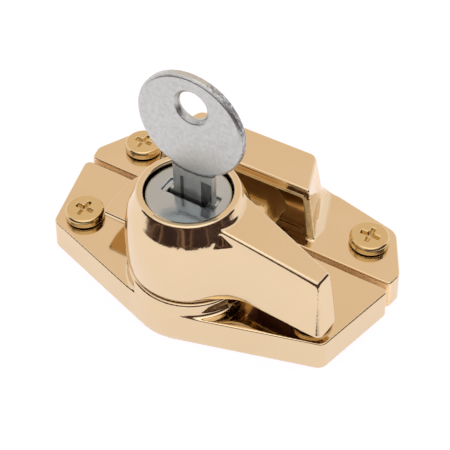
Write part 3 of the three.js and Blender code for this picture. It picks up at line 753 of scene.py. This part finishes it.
def key_field():
    low, high = node_box("key")
    middle, half = (NECK_LEFT + NECK_RIGHT) / 2, (NECK_RIGHT - NECK_LEFT) / 2

    def field(x, y, z):
        thick = np.abs(y) - KEY_HALF
        thin = thick + NECK_STEP
        rim = bow_rim(x, z)
        bow = common(round_max(rim, thick, BOW_EDGE), (rim + thick + BOW_CHAMFER) * DIAGONAL)
        neck = common(np.abs(x - middle) - half, NECK_FOOT - z, z - NECK_TOP)
        neck = round_max(neck, thin, RIM_EDGE)
        blade = round_max(np.abs(x) - BLADE_HALF, BLADE_TIP - z, BLADE_TIP_EDGE)
        blade = round_max(common(blade, z - NECK_FOOT - BLADE_LAP), thin, CAST_EDGE)
        body = cut_out(union(bow, neck, blade), key_grooves(x, y, z), MACHINED_EDGE)
        hole = np.hypot(x - HOLE_X, z - HOLE_Z) - HOLE_RADIUS
        body = cut_out(body, hole, MACHINED_EDGE)
        body = cut_out(body, (hole - HOLE_CHAMFER - thick) * DIAGONAL, SAWN_EDGE)
        for i, level in enumerate(WAFER_LEVELS):
            side = 1 if i % 2 == 0 else -1
            notch = common(CUT_X - side * x, np.abs(z - level) - CUT_HALF_HEIGHT)
            body = cut_out(body, notch, MACHINED_EDGE)
        return body

    return field, low, high


RIM_CLEAR = 0.02
CORNER_REACH = 0.45
FACE_CLEAR = 0.05
BELOW_BOW = 32
GROOVE_CLEAR, BELOW_GROOVE_TOPS = 0.08, 30
EDGE_REACH, EDGE_LEFT, EDGE_FOOT = 0.12, 4, 36


def key_neck(x, y, z):
    """The neck and the blade, below the bow, which get a darker copy of the key metal as painted shade."""
    return (bow_rim(x, z) > RIM_CLEAR) & (z < BELOW_BOW) & (np.abs(y) < KEY_HALF - FACE_CLEAR)


def key_recess(x, y, z):
    """The milled grooves and the corner under the bow, which get near-black painted shade."""
    milled = (key_grooves(x, y, z) < GROOVE_CLEAR) & (y < 0) & (z < BELOW_GROOVE_TOPS)
    return milled | (key_neck(x, y, z) & (bow_rim(x, z) < CORNER_REACH))


def key_edge(x, y, z):
    """The bow's rim on the side away from the hole, mottled with painted light and shade."""
    return (bow_rim(x, z) > -EDGE_REACH) & (x > EDGE_LEFT) & (z > EDGE_FOOT)


# ---- Screws ----
HEAD_GAP = 0.3
HEAD_CROWN = 0.014
HEAD_EDGE = 0.6
SHANK_RADIUS = 1.75
SHANK_TOP = 7
CROSS_LENGTH, CROSS_WIDTH, CROSS_DEPTH = 1.9, 0.5, 0.8
CROSS_FLARE = 0.5
CROSS_FILLET = 0.4


def screw_field(node):
    low, high = node_box(node)
    cx, cy = centre_xy(node)
    head_radius = (high[0] - low[0]) / 2
    head_top, tip = high[2], low[2]

    def field(x, y, z):
        dx, dy = x - cx, y - cy
        rho = np.hypot(dx, dy)
        head = round_max(rho - head_radius, z - (head_top - HEAD_CROWN * rho**2), HEAD_EDGE)
        head = round_max(head, PLATE_TOP + HEAD_GAP - z, FOOT_EDGE)
        shank = round_max(rho - SHANK_RADIUS, tip - z, SOFT_EDGE)
        body = round_min(head, common(shank, z - SHANK_TOP), MACHINED_EDGE)
        flare = CROSS_FLARE * (z - head_top)
        arm_a = bar(dx, CROSS_LENGTH + flare, dy, CROSS_WIDTH + flare)
        arm_b = bar(dy, CROSS_LENGTH + flare, dx, CROSS_WIDTH + flare)
        cross = common(round_min(arm_a, arm_b, CROSS_FILLET), head_top - CROSS_DEPTH - z)
        return cut_out(body, cross, CAST_EDGE)

    return field, low, high


# ---- Lock plug ----
DISC_RADIUS, DISC_FOOT = 7.1, 23.2
DISC_CROWN = 0.0045
BARREL_RADIUS, BARREL_FOOT, BARREL_TOP = 5.45, 15.9, 23.5
TAIL_RADIUS, TAIL_FOOT, TAIL_TOP = 2.9, 12.6, 16.2
PIN_TURN = 135 * RAD
PIN_OFFSET, PIN_RADIUS, PIN_TOP = 1.63, 0.8, 13
KEYWAY_HALF_X, KEYWAY_HALF_Y, KEYWAY_FLOOR = 3.6, 1.1, 15.4
SLOT_X, SLOT_HALF_X, SLOT_HALF_Y, SLOT_FLOOR = 0.5, 4.8, 1.5, 23.9
SLOT_EDGE = 0.35
WAFER_SLOT_HALF_Y, WAFER_SLOT_HALF_HEIGHT = 2.5, 0.55


def plug_field():
    low, high = node_box("lock_plug")
    pin_x, pin_y = PIN_OFFSET * math.cos(PIN_TURN), PIN_OFFSET * math.sin(PIN_TURN)

    def field(x, y, z):
        rho = np.hypot(x, y)
        disc = round_max(rho - DISC_RADIUS, z - (high[2] - DISC_CROWN * rho**2), SOFT_EDGE)
        disc = common(disc, DISC_FOOT - z)
        barrel = common(rho - BARREL_RADIUS, BARREL_FOOT - z, z - BARREL_TOP)
        tail = common(rho - TAIL_RADIUS, TAIL_FOOT - z, z - TAIL_TOP)
        pin = common(np.hypot(x - pin_x, y - pin_y) - PIN_RADIUS, low[2] - z, z - PIN_TOP)
        keyway = common(bar(x, KEYWAY_HALF_X, y, KEYWAY_HALF_Y), KEYWAY_FLOOR - z)
        slot = common(bar(x - SLOT_X, SLOT_HALF_X, y, SLOT_HALF_Y), SLOT_FLOOR - z)
        body = cut_out(union(disc, barrel, tail, pin), keyway, MACHINED_EDGE)
        body = cut_out(body, slot, SLOT_EDGE)
        for level in WAFER_LEVELS:
            wafer_slot = bar(y, WAFER_SLOT_HALF_Y, z - level, WAFER_SLOT_HALF_HEIGHT)
            body = cut_out(body, wafer_slot, SAWN_EDGE)
        return body

    return field, low, high


# ---- Build the pieces ----
CASTING_CELL = 0.24
LOCK_CELL = 0.16
SCREW_CELL = 0.12

build("base_casting", base_plate_field(), CASTING_CELL, "plates", "base_plate", BRASS,
      [(plates_gap, PAINTED_LIGHT_BRASS)])
build("keeper_casting", keeper_field(), CASTING_CELL, "plates", "keeper_plate", BRASS,
      [(plates_gap, PAINTED_LIGHT_BRASS), (hood_inside, PAINTED_LIGHT_BRASS), (hood_lip, GLINT_PAINTED_BRASS)])
build("lever_casting", lever_field(), CASTING_CELL, "lever", "lever_handle", BRASS,
      [(lever_inside, PAINTED_SHADE_INSIDE)])
build("key_blank", key_field(), LOCK_CELL, "key", "key", KEY_METAL,
      [(key_edge, PAINTED_RIM_METAL), (key_neck, KEY_NECK_SHADE), (key_recess, KEY_RECESS_SHADE)])
build("plug_face", plug_field(), LOCK_CELL, "plug", "lock_plug", LOCK_ZINC)
for place in ("base_screw_left", "base_screw_right", "keeper_screw_left", "keeper_screw_right"):
    build(place + "_pan_head", screw_field(place), SCREW_CELL, "plates", place, SCREW_BRASS)

SLOT_OF = {row["node"]: row["material_slot"] for row in frame["record"]["subparts"]}
for name, obj in frame["nodes"].items():
    for material_slot in obj.material_slots:
        material_slot.material = CAD_FINISH[SLOT_OF[name]]


# ---- Camera ----
CAMERA_AZIMUTH = 30.68 * RAD
CAMERA_ELEVATION = 46.96 * RAD
CAMERA_DISTANCE = 0.1734
CAMERA_TARGET = Vector((0.00122, 0.00948, 0.00866))
CAMERA_LENS = 77.6
CAMERA_SENSOR = 36.0
CAMERA_CLIP = (0.005, 20)


def make_camera():
    level = math.cos(CAMERA_ELEVATION)
    back = Vector((
        math.sin(CAMERA_AZIMUTH) * level,
        -math.cos(CAMERA_AZIMUTH) * level,
        math.sin(CAMERA_ELEVATION),
    ))
    data = bpy.data.cameras.new("camera")
    data.lens = CAMERA_LENS
    data.sensor_width = CAMERA_SENSOR
    data.clip_start, data.clip_end = CAMERA_CLIP
    camera = bpy.data.objects.new("camera", data)
    camera.location = CAMERA_TARGET + back * CAMERA_DISTANCE
    camera.rotation_mode = "QUATERNION"
    camera.rotation_quaternion = (-back).to_track_quat("-Z", "Y")
    bpy.context.collection.objects.link(camera)
    bpy.context.scene.camera = camera


# ---- Floor, dark flag and world, in metres and degrees ----
FLOOR_REACH = 3.0
FLOOR_LEVEL = -0.0002
FLOOR_GREY = rgba(0.25, 0.25, 0.25)
FLOOR_GLOW = rgba(1.06, 1.0, 1.05)
FLOOR_GLOW_STRENGTH = 0.80
FLOOR_ROUGHNESS = 0.9

FLAG_RADIUS, FLAG_CENTRE_Z = 0.14, 0.015
FLAG_START, FLAG_SPAN = -64, 189
FLAG_LOW, FLAG_RAGGED, FLAG_TOP = -6, 9, 38
FLAG_COLUMNS, FLAG_ROWS = 128, 16
FLAG_SEED, FLAG_BLUR = 7, 5
FLAG_DEEP, FLAG_LIGHT = rgba(0.030, 0.015, 0.015), rgba(0.046, 0.025, 0.025)
STREAK_SCALE, STREAK_DETAIL, STREAK_STRETCH = 30, 4, (0.4, 0.4, 1)
VEIN_SCALE, VEIN_STRETCH, VEIN_WIDTH = 46.0, (0.35, 0.35, 1), 0.04
VEIN_COLOUR = rgba(0.35, 0.22, 0.16)

ROOM_COLOUR = rgba(1.05, 1.0, 1.04)
OVERHEAD, OVERHEAD_FADE, OVERHEAD_COLOUR = (0, 0, 1), (0.86, 0.97), rgba(1.8, 1.7, 1.7)
WARM_SIDE, WARM_FADE, WARM_COLOUR = (-0.348, 0.587, 0.731), (0.66, 0.84), rgba(0.95, 0.80, 0.69)


def stage_mesh(name, vertices, faces, material):
    mesh = bpy.data.meshes.new(name)
    mesh.from_pydata(vertices, [], faces)
    mesh.materials.append(material)
    obj = bpy.data.objects.new(name, mesh)
    bpy.context.collection.objects.link(obj)
    return obj


def make_floor():
    n = Nodes("floor")
    n.set(n.shader, "Base Color", FLOOR_GREY)
    n.set(n.shader, "Roughness", FLOOR_ROUGHNESS)
    n.set(n.shader, "Specular IOR Level", 0.0)
    n.set(n.shader, "Emission Color", FLOOR_GLOW)
    n.set(n.shader, "Emission Strength", FLOOR_GLOW_STRENGTH)
    signs = ((-1, -1), (1, -1), (1, 1), (-1, 1))
    corners = [(FLOOR_REACH * i, FLOOR_REACH * j, FLOOR_LEVEL) for i, j in signs]
    stage_mesh("floor", corners, [(0, 1, 2, 3)], n.material)


def flag_material():
    n = Nodes("dark_flag")
    n.set(n.shader, "Base Color", rgba(0, 0, 0))
    n.set(n.shader, "Specular IOR Level", 0.0)
    streaks = n.remap(n.noise(STREAK_SCALE, STREAK_DETAIL, STREAK_STRETCH), 0, 1)
    dark = n.mix(streaks, FLAG_DEEP, FLAG_LIGHT)
    cells = n.add("ShaderNodeTexVoronoi", Vector=n.place(VEIN_STRETCH), Scale=VEIN_SCALE)
    cells.feature = "DISTANCE_TO_EDGE"
    vein = n.remap(cells.outputs["Distance"], 1, 0, 0.0, VEIN_WIDTH)
    n.set(n.shader, "Emission Color", n.mix(vein, dark, VEIN_COLOUR))
    n.set(n.shader, "Emission Strength", 1.0)
    return n.material


def make_dark_flag():
    """The unlit side of the studio, seen only in the metal."""
    ragged = np.random.default_rng(FLAG_SEED).normal(0, 1, FLAG_COLUMNS + 1)
    ragged = np.convolve(ragged, np.ones(FLAG_BLUR) / FLAG_BLUR, "same")
    vertices, faces = [], []
    for i in range(FLAG_COLUMNS + 1):
        turn = (FLAG_START + FLAG_SPAN * i / FLAG_COLUMNS) * RAD
        lowest = FLAG_LOW + FLAG_RAGGED * ragged[i]
        for j in range(FLAG_ROWS + 1):
            rise = (lowest + (FLAG_TOP - lowest) * j / FLAG_ROWS) * RAD
            vertices.append((
                FLAG_RADIUS * math.cos(rise) * math.sin(turn),
                -FLAG_RADIUS * math.cos(rise) * math.cos(turn),
                FLAG_CENTRE_Z + FLAG_RADIUS * math.sin(rise),
            ))
    for i in range(FLAG_COLUMNS):
        for j in range(FLAG_ROWS):
            a = i * (FLAG_ROWS + 1) + j
            b = a + FLAG_ROWS + 1
            faces.append((a, a + 1, b + 1, b))
    flag = stage_mesh("dark_flag", vertices, faces, flag_material())
    flag.visible_camera = False
    flag.visible_diffuse = False
    flag.visible_shadow = False


def make_world():
    """A white room, warm behind the part and brightest overhead."""
    world = bpy.data.worlds.new("studio")
    bpy.context.scene.world = world
    world.use_nodes = True
    tree = world.node_tree
    background = tree.nodes["Background"]
    direction = tree.nodes.new("ShaderNodeTexCoord").outputs["Generated"]

    def lobe(axis, fade_from, fade_to):
        """Rises from 0 to 1 as the direction nears an axis."""
        dot = tree.nodes.new("ShaderNodeVectorMath")
        dot.operation = "DOT_PRODUCT"
        dot.inputs[1].default_value = axis
        tree.links.new(direction, dot.inputs[0])
        fade = tree.nodes.new("ShaderNodeMapRange")
        fade.interpolation_type = "SMOOTHSTEP"
        tree.links.new(dot.outputs["Value"], fade.inputs["Value"])
        fade.inputs["From Min"].default_value = fade_from
        fade.inputs["From Max"].default_value = fade_to
        return fade.outputs["Result"]

    overhead = mix_colours(tree, lobe(OVERHEAD, *OVERHEAD_FADE), ROOM_COLOUR, OVERHEAD_COLOUR)
    warm = mix_colours(tree, lobe(WARM_SIDE, *WARM_FADE), overhead, WARM_COLOUR)
    tree.links.new(warm, background.inputs["Color"])
    background.inputs["Strength"].default_value = 1.0


make_camera()
make_floor()
make_dark_flag()
make_world()
bpy.context.scene.view_settings.view_transform = "Standard"
